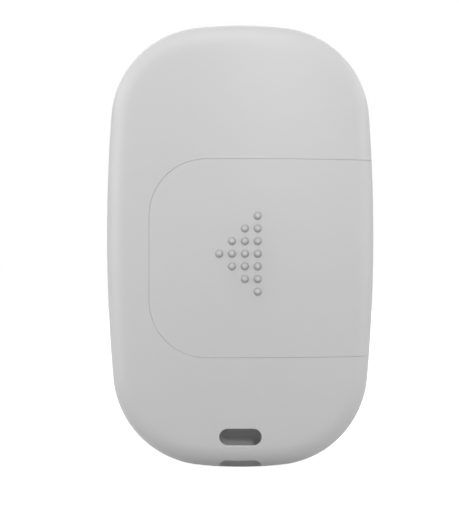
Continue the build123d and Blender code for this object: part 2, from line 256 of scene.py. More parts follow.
def tangent_corner(half_length):
    """Centre of the corner arc that touches the end arc and the side arc, by two circles."""
    to_end = end_radius - corner_radius
    to_side = side_radius - corner_radius
    side_x = half_width - side_radius
    end_z = half_length - end_radius
    span = math.hypot(side_x, end_z)
    along = (to_end**2 - to_side**2 + span**2) / (2 * span)
    across = math.sqrt(to_end**2 - along**2)
    unit_x = side_x / span
    unit_z = -end_z / span
    x = unit_x * along + unit_z * across
    z = end_z + unit_z * along - unit_x * across
    return x, z, math.atan2(z, x - side_x), math.atan2(z - end_z, x)


# The five arcs of the outline's right half, from the bottom to the top: their centres, their
# radii and the directions at which one arc passes into the next.
top_x, top_z, top_side, top_end = tangent_corner(top_length)
low_x, low_z, low_side, low_end = tangent_corner(bottom_length)
arc_x = np.array([0.0, low_x, half_width - side_radius, top_x, 0.0])
arc_z = np.array([end_radius - bottom_length, -low_z, 0, top_z, top_length - end_radius])
arc_z = bottom_length + arc_z
arc_r = np.array([end_radius, corner_radius, side_radius, corner_radius, end_radius])
arc_turns = np.array([-low_end, -low_side, top_side, top_end])


def rim(turn, inset):
    """Outline of the housing: the point whose outward normal has this direction, on the arc
    that holds the direction, moved inwards by the inset."""
    arc = np.searchsorted(arc_turns, np.arcsin(np.sin(turn)))
    x = np.sign(np.cos(turn)) * arc_x[arc] + (arc_r[arc] - inset) * np.cos(turn)
    return x, arc_z[arc] + (arc_r[arc] - inset) * np.sin(turn)


def crown(x, z, face, inset):
    """Height of the crowned face over (x, z): a circle across, carried round a larger circle
    along the fob, both smaller by the inset."""
    depth, across_radius = face
    turned = along_radius - across_radius + np.sqrt((across_radius - inset) ** 2 - x**2)
    return depth - along_radius + np.sqrt(turned**2 - (z - body_middle) ** 2)


def crown_normal(x, z, face, inset):
    """Outward unit normal of the crown, from the centres of its two circles."""
    radius = face[1] - inset
    root = np.sqrt(radius**2 - x**2)
    lean = (z - body_middle) / (along_radius - face[1] + root)
    return np.stack([x / radius, root / radius * np.sqrt(1 - lean**2), root / radius * lean], -1)


def rolled_edge(turn, share, face, inset):
    """Rolled edge: a ball that touches the side wall and the crown. The point on it lies
    between the two touching directions, at the given share of the angle between them."""
    x, z = rim(turn, edge_radius)
    centre = np.stack([x, crown(x, z, face, edge_radius), z], -1)
    outwards = np.stack([np.cos(turn), 0 * turn, np.sin(turn)], -1)
    crownwards = crown_normal(x, z, face, edge_radius)
    full = np.arccos((outwards * crownwards).sum(-1))
    first = (np.sin((1 - share) * full) / np.sin(full))[..., None]
    second = (np.sin(share * full) / np.sin(full))[..., None]
    return centre + (edge_radius - inset) * (first * outwards + second * crownwards)


def half_form(turn, face, inset, rounded, edge_rows, crown_rows):
    """Rows of points of half the housing form, from the parting plane up the side wall, over
    the rolled edge and along straight lines in plan to the middle of the crown."""
    rows = []
    parting_rows = 4
    for step in np.linspace(0, math.pi / 2, parting_rows):
        x, z = rim(turn, inset + rounded * (1 - math.sin(step)))
        rows.append(np.stack([x, 0 * x + rounded * (1 - math.cos(step)), z], -1))
    for share in np.linspace(0, 1, edge_rows):
        rows.append(rolled_edge(turn, share + 0 * turn, face, inset))
    touch = rows[-1]
    for share in np.linspace(0, 1, crown_rows)[1:]:
        x = touch[:, 0] * (1 - share)
        z = touch[:, 2] * (1 - share) + body_middle * share
        rows.append(np.stack([x, crown(x, z, face, inset), z], -1))
    return np.array(rows)


def even_turns(count):
    """Directions whose rim points are evenly spaced: the arc length is inverted."""
    samples = 4001
    fine = np.linspace(-math.pi / 2, 1.5 * math.pi, samples)
    steps = arc_r[np.searchsorted(arc_turns, np.arcsin(np.sin(fine[:-1])))] * np.diff(fine)
    length = np.concatenate([[0], np.cumsum(steps)])
    return np.interp(np.arange(count) / count * length[-1], length, fine)


def grid_faces(rows, columns):
    """Quads between neighbouring rows and columns, with the last column joined to the first."""
    first = np.arange(rows - 1)[:, None] * columns
    here = np.arange(columns)[None, :]
    after = (here + 1) % columns
    quads = [first + here, first + after, first + columns + after, first + columns + here]
    return np.stack(quads, -1).reshape(-1, 4)


def place_mesh(name, parts, sharp_degrees, turn_out=True):
    """One object out of parts, each a pair of points in millimetres and faces. Doubles are
    merged, the faces of closed forms are turned outwards, and sharp edges are marked."""
    points = []
    faces = []
    for some_points, some_faces in parts:
        offset = sum(len(p) for p in points)
        points.append(np.asarray(some_points, float).reshape(-1, 3))
        faces += [[corner + offset for corner in face] for face in some_faces]
    mesh = bpy.data.meshes.new(name)
    mesh.from_pydata(np.concatenate(points) * millimetre, [], faces)
    tidy = bmesh.new()
    tidy.from_mesh(mesh)
    bmesh.ops.remove_doubles(tidy, verts=tidy.verts, dist=1e-7)
    bmesh.ops.dissolve_degenerate(tidy, edges=tidy.edges, dist=1e-8)
    if turn_out:
        bmesh.ops.recalc_face_normals(tidy, faces=tidy.faces)
    tidy.to_mesh(mesh)
    tidy.free()
    mesh.shade_smooth()
    mesh.set_sharp_from_angle(angle=math.radians(sharp_degrees))
    piece = bpy.data.objects.new(name, mesh)
    bpy.context.scene.collection.objects.link(piece)
    return piece


skin_thickness = 0.5
skin_columns = 420


def shell_skin(name, face, side):
    """Closed skin of half the housing: the outer form, and the form inset by its thickness,
    from pole to pole."""
    turn = even_turns(skin_columns)
    outer = half_form(turn, face, 0.0, parting_round, edge_rows=16, crown_rows=34)
    inner = half_form(turn, face, skin_thickness, 0.0, edge_rows=8, crown_rows=12)
    points = np.concatenate([outer[::-1], inner]) * [1, side, 1]
    return place_mesh(name, [(points, grid_faces(len(points), skin_columns))], sharp_degrees=12)


def tool_from(name, rings):
    """Closed cutting form through a list of rings with equal counts, capped at both ends."""
    count = len(rings[0])
    faces = grid_faces(len(rings), count).tolist()
    faces.append(list(range(count)))
    faces.append(list(range((len(rings) - 1) * count, len(rings) * count)))
    return place_mesh(name, [(np.concatenate(rings), faces)], sharp_degrees=180)


def carve(piece, tool, operation):
    """Boolean of the piece with the tool, made final. The tool is removed."""
    modifier = piece.modifiers.new("cut", "BOOLEAN")
    modifier.operation = operation
    modifier.solver = "EXACT"
    modifier.object = tool
    shown = piece.evaluated_get(bpy.context.evaluated_depsgraph_get())
    cut = bpy.data.meshes.new_from_object(shown)
    piece.modifiers.clear()
    piece.data = cut
    bpy.data.objects.remove(tool)


edge_round = 0.12
hair = 0.01
flare_rise = 0.05
flare_growth = 0.03
past_face = 2.0


def mouth_steps(way, radius):
    """Insets below the surface and growths of a mouth, from inside to outside. Its edge is a
    small round, and it grows outwards for an opening (way 1) or inwards for a lid (way -1).
    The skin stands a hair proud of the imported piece's own edge. Over the surface the form
    flares a little, so that the round ends in it."""
    steps = [(2 * skin_thickness, -hair * way)]
    for angle in np.radians([0, 25, 50, 75]):
        growth = radius * (1 - math.cos(angle)) - hair
        steps.append((radius * (1 - math.sin(angle)), growth * way))
    steps.append((-flare_rise, steps[-1][1] + flare_growth * way))
    return steps


def rounded_square(width, corner, count):
    """Square with arcs at its corners, as points of (x, z) with evenly turned corners."""
    quarter = np.arange(4 * count) // count * math.pi / 2
    turn = quarter + np.tile(np.linspace(0, math.pi / 2, count), 4)
    centre = width / 2 - corner
    x = np.sign(np.cos(quarter + math.pi / 4)) * centre
    z = np.sign(np.sin(quarter + math.pi / 4)) * centre
    return x + corner * np.cos(turn), z + corner * np.sin(turn)


def front_mouth(name, outline):
    """Cutting form of an opening in the front shell, whose outline takes a growth."""
    rings = []
    steps = mouth_steps(1, edge_round)
    for inset, growth in steps:
        x, z = outline(growth)
        rings.append(np.stack([x, crown(x, z, front_face, inset), z], -1))
    x, z = outline(steps[-1][1])
    rings.append(np.stack([x, 0 * x + front_face[0] + past_face, z], -1))
    return tool_from(name, rings)


key_width = 11.6
key_pitch = 13.0
key_corner = 3.2
key_grid_z = 34.0
key_gap = 0.15
light_z = 52.5
light_hole = 1.25
key_sides = {
    "lock_key": (-1, 1),
    "unlock_key": (1, 1),
    "home_key": (-1, -1),
    "alert_key": (1, -1),
}


def key_mouth(growth, across, along):
    """Opening of one key: the key's own rounded square, with a gap all round."""
    width = key_width + 2 * key_gap + 2 * growth
    x, z = rounded_square(width, key_corner + key_gap + growth, 10)
    return x + across * key_pitch / 2, z + key_grid_z + along * key_pitch / 2


def light_mouth(growth):
    """Opening of the light pipe: a circle round its place above the keys."""
    turn = np.linspace(0, 2 * math.pi, 40, endpoint=False)
    return (light_hole + growth) * np.cos(turn), light_z + (light_hole + growth) * np.sin(turn)


def depth_below(points, face, side):
    """How far points lie below the outer face of half the housing, and the way inwards. The
    rim's arc is the one that holds the point's direction from the arc's centre."""
    x, y, z = points[:, 0], points[:, 1] * side, points[:, 2]
    turns = np.arctan2(z[:, None] - arc_z, np.abs(x)[:, None] - arc_x)
    low = np.concatenate([[-math.pi / 2], arc_turns])
    high = np.concatenate([arc_turns, [math.pi / 2]])
    arc = np.argmax((turns >= low - 1e-6) & (turns <= high + 1e-6), axis=1)
    turn = np.take_along_axis(turns, arc[:, None], 1)[:, 0]
    reach = np.hypot(z - arc_z[arc], np.abs(x) - arc_x[arc])
    inset = arc_r[arc] - reach
    turn = np.where(x < 0, math.pi - turn, turn)
    ball_x, ball_z = rim(turn, edge_radius)
    ball_y = crown(ball_x, ball_z, face, edge_radius)
    outwards = np.stack([np.cos(turn), 0 * turn, np.sin(turn)], -1)
    from_ball = np.stack([x - ball_x, y - ball_y, z - ball_z], -1)
    ball_reach = np.linalg.norm(from_ball, axis=1)
    normal = crown_normal(x, z, face, 0.0)
    touch = edge_radius * (1 - (normal * outwards).sum(-1))
    on_crown = inset >= touch
    on_wall = ~on_crown & (y < ball_y)
    under_crown = (crown(x, z, face, 0.0) - y) * normal[:, 1]
    depth = np.where(on_crown, under_crown, edge_radius - ball_reach)
    depth = np.where(on_wall, inset, depth)
    to_ball = -from_ball / np.maximum(ball_reach, 1e-9)[:, None]
    inwards = np.where(on_crown[:, None], -normal, to_ball)
    inwards = np.where(on_wall[:, None], -outwards, inwards)
    return depth, inwards * [1, side, 1]


def merged(mesh):
    """Points in millimetres and faces of a mesh, with its doubles merged."""
    tidy = bmesh.new()
    tidy.from_mesh(mesh)
    bmesh.ops.remove_doubles(tidy, verts=tidy.verts, dist=1e-6)
    bmesh.ops.dissolve_degenerate(tidy, edges=tidy.edges, dist=1e-7)
    tidy.verts.index_update()
    points = np.array([corner.co for corner in tidy.verts]) / millimetre
    faces = [[corner.index for corner in polygon.verts] for polygon in tidy.faces]
    tidy.free()
    return points, faces


def stand_in(piece, node, body, finish):
    """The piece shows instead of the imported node, rides on its body and has this finish."""
    piece.data.materials.clear()
    piece.data.materials.append(finish)
    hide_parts(node)
    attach(piece, body)


outer_face_depth = 0.06
sunk_depth = 0.2


def shell_piece(name, skin, node, face, side, extras=(), fitted=None):
    """Skin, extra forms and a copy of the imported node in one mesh. The points of the copy's
    outer face are sunk below the skin, so that only its inside shows."""
    points, faces = merged(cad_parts[node].data)
    if fitted:
        points = fitted(points)
    depth, inwards = depth_below(points, face, side)
    sunk = np.where(depth < outer_face_depth, sunk_depth - depth, 0)[:, None]
    lowered = (points + inwards * sunk, faces)
    inside = place_mesh("inside", [lowered], sharp_degrees=30, turn_out=False)
    outside = place_mesh(name, [merged(skin.data)], sharp_degrees=12)
    bpy.data.objects.remove(skin)
    joined = [outside, inside, *extras]
    with bpy.context.temp_override(active_object=outside, selected_editable_objects=joined):
        bpy.ops.object.join()
    return outside


front_skin = shell_skin("front skin", front_face, 1)
for key, (across, along) in key_sides.items():
    mouth = front_mouth("mouth", lambda growth: key_mouth(growth, across, along))
    carve(front_skin, mouth, "DIFFERENCE")
carve(front_skin, front_mouth("mouth", light_mouth), "DIFFERENCE")
front_piece = shell_piece("front_shell_moulding", front_skin, "front_shell", front_face, 1)
stand_in(front_piece, "front_shell", "housing", housing_finish)


# Light pipe: a short rod that carries the status light to the key side. It is moulded in
# clear polycarbonate, and its collar rests under the wall of the front shell.
def dress(node, finish):
    """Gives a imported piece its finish."""
    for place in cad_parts[node].material_slots:
        place.material = finish


clear_plastic, tree = new_finish("clear polycarbonate")
surface(tree, {
    "Base Color": (0.93, 0.95, 0.96, 1),
    "Roughness": noise(tree, 3000.0) * 0.06 + 0.03,
    "Transmission Weight": 1.0,
    "IOR": 1.58,
})
dress("light_pipe", clear_plastic)


# Keys: four caps in white plastic, guided by the front shell and held by their flanges.
# A line icon is printed on each in dark ink, as a layer that can just be felt.
key_finish = moulded("white key plastic", (0.74, 0.74, 0.735), 0.45)
ink, tree = new_finish("dark grey ink")
speckle = noise(tree, 2500.0)
surface(tree, {
    "Base Color": speckle.blend((0.050, 0.052, 0.056, 1), (0.070, 0.072, 0.076, 1)),
    "Roughness": speckle * 0.15 + 0.4,
})
key_rise = 0.4
ink_width = 0.34
ink_lift = 0.02
ink_root = 0.05


def rounded_path(corners, reach, closed):
    """Line through corners, each cut off by a parabola that starts and ends at this reach
    from it: the mean of two points that move along the two runs."""
    corners = np.array(corners, float)
    before = np.roll(corners, 1, 0) - corners
    after = np.roll(corners, -1, 0) - corners
    start = corners + reach * before / np.linalg.norm(before, axis=1)[:, None]
    end = corners + reach * after / np.linalg.norm(after, axis=1)[:, None]
    share = np.linspace(0, 1, 9)[None, :, None]
    bends = start[:, None] * (1 - share) ** 2 + 2 * corners[:, None] * share * (1 - share)
    bends = bends + end[:, None] * share**2
    if closed:
        return bends.reshape(-1, 2)
    return np.concatenate([corners[:1], bends[1:-1].reshape(-1, 2), corners[-1:]])


def ink_line(path, closed, centre):
    """Printed line along a path in the key's plane: a low flat section, six points round,
    carried along the path on the key's crowned face."""
    if closed:
        runs = np.roll(path, -1, 0) - np.roll(path, 1, 0)
    else:
        runs = np.gradient(path, axis=0)
    aside = np.stack([-runs[:, 1], runs[:, 0]], -1) / np.linalg.norm(runs, axis=1)[:, None]
    across = np.array([-0.5, -0.5, -0.4, 0.4, 0.5, 0.5]) * ink_width
    lift = np.array([-ink_root, ink_lift / 2, ink_lift, ink_lift, ink_lift / 2, -ink_root])
    plan = path[:, None] + aside[:, None] * across[None, :, None]
    x = centre[0] - plan[..., 0]
    z = centre[1] + plan[..., 1]
    y = crown(x, z, front_face, -key_rise) + lift
    points = np.stack([x, y, z], -1)
    if closed:
        points = np.concatenate([points, points[:1]])
    faces = grid_faces(len(points), 6).tolist()
    if not closed:
        faces += [list(range(6)), list(range(6 * len(points) - 6, 6 * len(points)))]
    return points, faces


lock_body = rounded_path([(-1.7, -2.1), (1.7, -2.1), (1.7, 0.4), (-1.7, 0.4)], 0.5, True)
keyhole = np.array([(0, -0.5), (0, -0.85), (0, -1.2)])
door = [(-0.55, -2.1), (-0.55, -0.6), (0.55, -0.6), (0.55, -2.1)]
icons = {
    "lock_key": [
        (lock_body, True),
        (rounded_path([(-1.05, 0.4), (-1.05, 2.2), (1.05, 2.2), (1.05, 0.4)], 1.04, False), False),
        (keyhole, False),
    ],
    "unlock_key": [
        (lock_body, True),
        (rounded_path([(-1.05, 1.4), (-1.05, 2.9), (1.05, 2.9), (1.05, 0.4)], 1.04, False), False),
        (keyhole, False),
    ],
    "home_key": [
        (rounded_path([(-2.4, -0.1), (0, 2.1), (2.4, -0.1)], 0.3, False), False),
        (rounded_path([(-1.7, 0.4), (-1.7, -2.1), (1.7, -2.1), (1.7, 0.4)], 0.3, False), False),
        (rounded_path(door, 0.15, False), False),
    ],
    "alert_key": [
        (rounded_path([(-2.5, -1.9), (2.5, -1.9), (0, 2.4)], 0.6, True), True),
        (np.array([(0, 0.9), (0, 0.2), (0, -0.5)]), False),
        (np.array([(0, -1.0), (0, -1.15), (0, -1.3)]), False),
    ],
}
for key, (across, along) in key_sides.items():
    dress(key, key_finish)
    centre = (across * key_pitch / 2, key_grid_z + along * key_pitch / 2)
    lines = [ink_line(path, closed, centre) for path, closed in icons[key]]
    icon = place_mesh(key + "_icon", lines, sharp_degrees=30)
    icon.data.materials.append(ink)
    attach(icon, key)


# Circuit board: glass epoxy sheet under a green solder mask, with tracks showing through
# the mask and tinned holes between them. It rests on the posts of the front shell.
def beyond(tree, axis, middle, reach):
    """Mask of the places further from a middle than a reach, both in mm, along one axis."""
    place = tree.add("ShaderNodeTexCoord", {}, {}, output="Object")
    along = tree.add("ShaderNodeSeparateXYZ", {}, {"Vector": place}, output=axis)
    away = tree.maths("ABSOLUTE", along - middle * millimetre)
    return tree.maths("GREATER_THAN", away, reach * millimetre)


board_middle_y = 0.32
mask_reach = 0.38
solder_green, tree = new_finish("green solder mask")
place = tree.add("ShaderNodeTexCoord", {}, {}, output="Object")
flat = tree.add("ShaderNodeMapping", {}, {"Vector": place, "Rotation": (math.pi / 2, 0, 0)})
laid = {"offset": 0.37, "squash": 1.7, "squash_frequency": 3}
tracks = tree.add("ShaderNodeTexBrick", laid, {
    "Vector": flat, "Scale": 260.0, "Mortar Size": 0.035, "Mortar Smooth": 0.2, "Bias": 0.0,
}, output=1)
holes = tree.add("ShaderNodeTexVoronoi", {}, {"Vector": flat, "Scale": 330.0, "Randomness": 0.6})
tinned = holes.maths("LESS_THAN", holes, 0.13)
cut_edge = 1.0 - beyond(tree, 1, board_middle_y, mask_reach)
mask_tone = tracks.blend((0.012, 0.105, 0.040, 1), (0.030, 0.190, 0.075, 1))
tinned_tone = tinned.blend(mask_tone, (0.62, 0.62, 0.58, 1))
surface(tree, {
    "Base Color": cut_edge.blend(tinned_tone, (0.45, 0.42, 0.24, 1)),
    "Metallic": tinned * (1.0 - cut_edge),
    "Roughness": noise(tree, 900.0) * 0.1 + cut_edge * 0.4 + 0.25,
    "Normal": tree.add("ShaderNodeBump", {}, {
        "Height": tracks, "Distance": 0.00003, "Strength": 1.0,
    }),
})
dress("circuit_board", solder_green)


# Chips on the board: an epoxy radio chip, a welded crystal can, a ceramic aerial, rows of
# two-ended capacitors and resistors, and the status light, all soldered to its key side.
tin_tone = (0.66, 0.66, 0.64, 1)


def tin_ended(name, colour, axis, middle, reach):
    """Ceramic body with tinned ends, past a reach from its middle along one axis."""
    material, tree = new_finish(name)
    ends = beyond(tree, axis, middle, reach)
    grain = noise(tree, 4000.0)
    body = grain.blend(tuple(0.9 * part for part in colour) + (1,), tuple(colour) + (1,))
    surface(tree, {
        "Base Color": ends.blend(body, tin_tone),
        "Metallic": ends,
        "Roughness": grain * 0.15 + 0.3,
        "Normal": tree.add("ShaderNodeBump", {}, {"Height": grain, "Distance": 0.000006}),
    })
    return material


def rolled(name, colour, roughness, stretch):
    """Bare metal: drawn lines along one axis in gloss and relief, and faint slow smudges."""
    material, tree = new_finish(name)
    lines = noise(tree, 9000.0, 3.0, stretch)
    smudge = noise(tree, 260.0, 3.0)
    darker = tuple(0.93 * part for part in colour) + (1,)
    surface(tree, {
        "Base Color": smudge.blend(darker, tuple(colour) + (1,)),
        "Metallic": 1.0,
        "Roughness": lines * 0.12 + smudge * 0.08 + (roughness - 0.1),
        "Normal": tree.add("ShaderNodeBump", {}, {"Height": lines, "Distance": 0.0000015}),
    })
    return material


first_pin_place = (-0.0048, 0.00157, 0.0173)
first_pin_radius = 0.0003
black_epoxy, tree = new_finish("black epoxy")
place = tree.add("ShaderNodeTexCoord", {}, {}, output="Object")
away = tree.add("ShaderNodeVectorMath", {"operation": "DISTANCE"}, {
    0: place, 1: first_pin_place,
}, output=1)
first_pin = tree.maths("LESS_THAN", away, first_pin_radius)
grain = noise(tree, 6000.0)
surface(tree, {
    "Base Color": first_pin.blend((0.018, 0.018, 0.020, 1), (0.10, 0.10, 0.10, 1)),
    "Roughness": grain * 0.2 + 0.5,
    "Normal": tree.add("ShaderNodeBump", {}, {"Height": grain, "Distance": 0.000008}),
})
dress("radio_chip", black_epoxy)
dress("crystal", rolled("crystal can steel", (0.62, 0.61, 0.58), 0.3, (1, 1, 0.05)))
for node, ceramic, colour, axis, middle, reach in (
    ("chip_antenna", "aerial ceramic", (0.55, 0.60, 0.62), 0, 3.0, 3.8),
    ("capacitors", "capacitor ceramic", (0.42, 0.27, 0.15), 2, 20.5, 0.27),
    ("resistors", "resistor glaze", (0.02, 0.02, 0.022), 2, 47.8, 0.27),
):
    dress(node, tin_ended(ceramic, colour, axis, middle, reach))
window_across = 0.42
window_along = 0.26
status_end = 0.64
status_finish, tree = new_finish("status light chip")
window = 1.0 - beyond(tree, 0, 0.0, window_across)
window = window * (1.0 - beyond(tree, 2, light_z, window_along))
ends = beyond(tree, 0, 0.0, status_end)
grain = noise(tree, 5000.0)
surface(tree, {
    "Base Color": ends.blend(window.blend((0.80, 0.80, 0.76, 1), (0.83, 0.68, 0.16, 1)), tin_tone),
    "Metallic": ends,
    "Roughness": grain * 0.1 + 0.35,
})
dress("status_led", status_finish)


# Tactile switches: under each key a moulded base that is soldered to the board, a pressed
# steel cover plate staked over it, and a plunger that the key's stem pushes.
switch_black = moulded("black switch nylon", (0.022, 0.022, 0.024), 0.5)
switch_steel = rolled("pressed switch plate", (0.60, 0.59, 0.57), 0.32, (1, 1, 0.05))
plunger_white = moulded("white plunger plastic", (0.72, 0.72, 0.70), 0.4)
for key in key_sides:
    switch = key.replace("key", "switch_")
    dress(switch + "body", switch_black)
    dress(switch + "plate", switch_steel)
    dress(switch + "plunger", plunger_white)


# Cell contacts: one presses on the side of the can, the other rises to the lid. Both are
# bent from nickel-plated spring strip and soldered to the board.
contact_nickel = rolled("nickel-plated strip", (0.66, 0.63, 0.57), 0.28, (0.05, 1, 1))
dress("positive_contact", contact_nickel)
dress("negative_contact", contact_nickel)


# Back shell: moulded like the front shell, open for the battery cover, with the strap slot
# near its lower end. The strap's tunnel bends down to a second mouth in the end itself, and
# is darkened inside with painted shade.
cover_left = -12.4
cover_bottom = 15.4
cover_height = 26.86
cover_top = cover_bottom + cover_height
cover_corner = 7.7
seam_round = 0.042
slot_width = 5.74
slot_height = 2.29
slot_z = 4.62
bar_depth = 1.95
tunnel_bend = 2.0
tunnel_end_y = bar_depth + slot_height / 2 - back_face[0]


def between(start, end, count):
    """Evenly spaced values between two ends, without the ends."""
    return np.linspace(start, end, count + 2)[1:-1]


def side_section(z, inset, end_y):
    """Points at one height round the right side: up the wall from end_y, and over the rolled
    edge. Each share's direction is found from its height, which rises with the direction."""
    widest_turn = 0.12
    turns = np.linspace(-widest_turn, widest_turn, 61)
    rows = []
    for share in np.linspace(0, 1, 14):
        heights = rolled_edge(turns, share + 0 * turns, back_face, inset)
        rows.append([np.interp(z, heights[:, 2], heights[:, axis]) for axis in range(3)])
    wall = np.linspace(end_y, rows[0][1], 5)[:-1]
    section = [[rows[0][0], y, z] for y in wall] + rows
    return np.array(section)


def seam_ring(inset, growth, end_y):
    """Closed line on the back face, inset by a depth, over the cover's outline grown by the
    given amount: up the right side, left along the top, round the corners and back."""
    high = cover_top + growth
    low = cover_bottom - growth
    radius = cover_corner + growth
    centre_x = cover_left + cover_corner
    upper = side_section(high, inset, end_y)
    lower = side_section(low, inset, end_y)
    arc = np.linspace(math.pi / 2, math.pi, 25)
    across = 48
    down = 28
    plan = [
        (between(upper[-1, 0], centre_x, across), np.full(across, high)),
        (centre_x + radius * np.cos(arc), high - radius + radius * np.sin(arc)),
        (np.full(down, centre_x - radius), between(high - radius, low + radius, down)),
        (centre_x + radius * np.cos(arc[::-1]), low + radius - radius * np.sin(arc[::-1])),
        (between(centre_x, lower[-1, 0], across), np.full(across, low)),
    ]
    x, z = np.concatenate(plan, axis=1)
    over = np.stack([x, crown(x, z, back_face, inset), z], -1)
    back = [side_section(z, inset, end_y)[0] for z in between(low, high, 20)]
    return np.concatenate([upper, over, lower[::-1], back]) * [1, -1, 1]


def seam_tool(name, way, gap, end_y):
    """Cutting form of the cover's opening (way 1), or the form that the cover fills (-1)."""
    steps = mouth_steps(way, seam_round)
    rings = [seam_ring(inset, growth - gap, end_y) for inset, growth in steps]
    rings.append(rings[-1] * [1, 0, 1] - [0, back_face[0] + past_face, 0])
    return tool_from(name, rings)


def stadium(growth):
    """Slot outline: two straight sides with half circles between them, as (across, along)."""
    half = (slot_width - slot_height) / 2
    turn = np.linspace(-math.pi / 2, math.pi / 2, 19)
    radius = slot_height / 2 + growth
    straight = between(half, -half, 12)
    level = np.full(len(straight), radius)
    across = [half + radius * np.cos(turn), straight, -half - radius * np.cos(turn), -straight]
    along = [radius * np.sin(turn), level, -radius * np.sin(turn), -level]
    return np.concatenate(across), np.concatenate(along)


def end_height(x, y, inset):
    """Height of the strap end's surface over (x, y), on the back side: the rolled edge's ball
    rides on the end arc, and below the ball's centre the wall is upright."""
    spine = end_radius - edge_radius
    ball_z = end_radius - np.sqrt(spine**2 - x**2)
    above = np.maximum(y - crown(x, ball_z, back_face, edge_radius), 0)
    reach = spine + np.sqrt((edge_radius - inset) ** 2 - above**2)
    return end_radius - np.sqrt(reach**2 - x**2)


def strap_tool():
    """Cutting form of the strap tunnel: the slot's section from the back face, round a
    quarter bend, and out of the strap end, with a rounded mouth at both ends."""
    turn_y = tunnel_end_y - tunnel_bend
    steps = mouth_steps(1, edge_round)[1:]
    across, along = stadium(steps[-1][1])
    rings = [np.stack([across, 0 * across - back_face[0] - past_face, slot_z + along], -1)]
    for inset, growth in steps[::-1]:
        across, along = stadium(growth)
        y = -crown(across, slot_z + along, back_face, inset)
        rings.append(np.stack([across, y, slot_z + along], -1))
    for angle in np.linspace(0, math.pi / 2, 12):
        out = tunnel_bend + along
        y = turn_y + out * math.sin(angle)
        rings.append(np.stack([across, y, slot_z - tunnel_bend + out * math.cos(angle)], -1))
    for inset, growth in steps:
        across, along = stadium(growth)
        y = tunnel_end_y + along
        rings.append(np.stack([across, y, end_height(across, -y, inset)], -1))
    rings.append(rings[-1] * [1, 1, 0] - [0, 0, past_face])
    return tool_from("strap tool", rings)


def lay_painted_shade(piece, amounts):
    """Adds to each point of the piece its share of painted shade."""
    painted_shade = piece.data.attributes.get("painted_shade") or piece.data.attributes.new("painted_shade", "FLOAT", "POINT")
    there = np.empty(len(amounts), np.float32)
    painted_shade.data.foreach_get("value", there)
    painted_shade.data.foreach_set("value", there + np.asarray(amounts, np.float32))


def points_of(piece):
    """All points of the piece, in millimetres."""
    found = np.empty(3 * len(piece.data.vertices), np.float32)
    piece.data.vertices.foreach_get("co", found)
    return found.reshape(-1, 3).astype(float) / millimetre


back_skin = shell_skin("back skin", back_face, -1)
cover_skin = bpy.data.objects.new("cover skin", back_skin.data.copy())
bpy.context.scene.collection.objects.link(cover_skin)
carve(back_skin, seam_tool("seam tool", 1, 0.0, -past_face), "DIFFERENCE")
carve(back_skin, strap_tool(), "DIFFERENCE")
back_piece = shell_piece("back_shell_moulding", back_skin, "back_shell", back_face, -1)
# Painted shade in the tunnel grows with the height, from its lower mouth to the slot's
# two edges, and fades out towards the surface. The points away from the strap get none.
tunnel_half = 3.3
tunnel_top = 6.5
tunnel_shade_heights = (0.5, slot_z - slot_height / 2, slot_z + slot_height / 2)
tunnel_shade = (0.0, 0.45, 0.85)
shade_start_depth = 0.15
fade_depth = 0.5
at = points_of(back_piece)
by_strap = (np.abs(at[:, 0]) < tunnel_half) & (at[:, 2] < tunnel_top)
sunk = depth_below(np.where(by_strap[:, None], at, 0.0), back_face, -1)[0]
tunnel_shade_there = np.interp(at[:, 2], tunnel_shade_heights, tunnel_shade)
faded = np.clip((sunk - shade_start_depth) / fade_depth, 0, 1)
lay_painted_shade(back_piece, by_strap * tunnel_shade_there * faded)
stand_in(back_piece, "back_shell", "housing", housing_finish)


# Case screws: two pan-head screws in zinc-plated steel, driven with a cross driver. They
# hold the shells together from inside the cover's opening.
screw_steel = rolled("zinc-plated screw steel", (0.47, 0.47, 0.48), 0.4, (1, 0.1, 1))
recess_reach = 0.85
recess_width = 0.36
recess_depth = 0.5
head_radius = 1.4
screws_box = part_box("case_screws")
head_y = screws_box[0].y / millimetre
screw_x = screws_box[0].x / millimetre + head_radius
low_screw_z = screws_box[0].z / millimetre + head_radius
high_screw_z = screws_box[1].z / millimetre - head_radius
packed_screws = merged(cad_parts["case_screws"].data)
screw_piece = place_mesh("case_screw_set", [packed_screws], sharp_degrees=30, turn_out=False)


def cross_recess(z):
    """Cutting form of a cross recess: a plus with straight arms, one arm turned by quarters,
    that narrows from over the head down to its depth."""
    half = recess_width / 2
    arm = np.array([(recess_reach, -half), (recess_reach, half), (half, half)])
    quarters = ((1, 0), (0, 1), (-1, 0), (0, -1))
    plan = np.concatenate([arm @ np.array([[c, s], [-s, c]]) for c, s in quarters])
    rings = []
    for size, deep in ((1.1, -0.2), (1.0, 0.0), (0.55, recess_depth)):
        x = screw_x + size * plan[:, 0]
        rings.append(np.stack([x, np.full(len(x), head_y + deep), z + size * plan[:, 1]], -1))
    return tool_from("recess", rings)


for z in (low_screw_z, high_screw_z):
    carve(screw_piece, cross_recess(z), "DIFFERENCE")
screw_piece.data.set_sharp_from_angle(angle=math.radians(30))
stand_in(screw_piece, "case_screws", "housing", screw_steel)


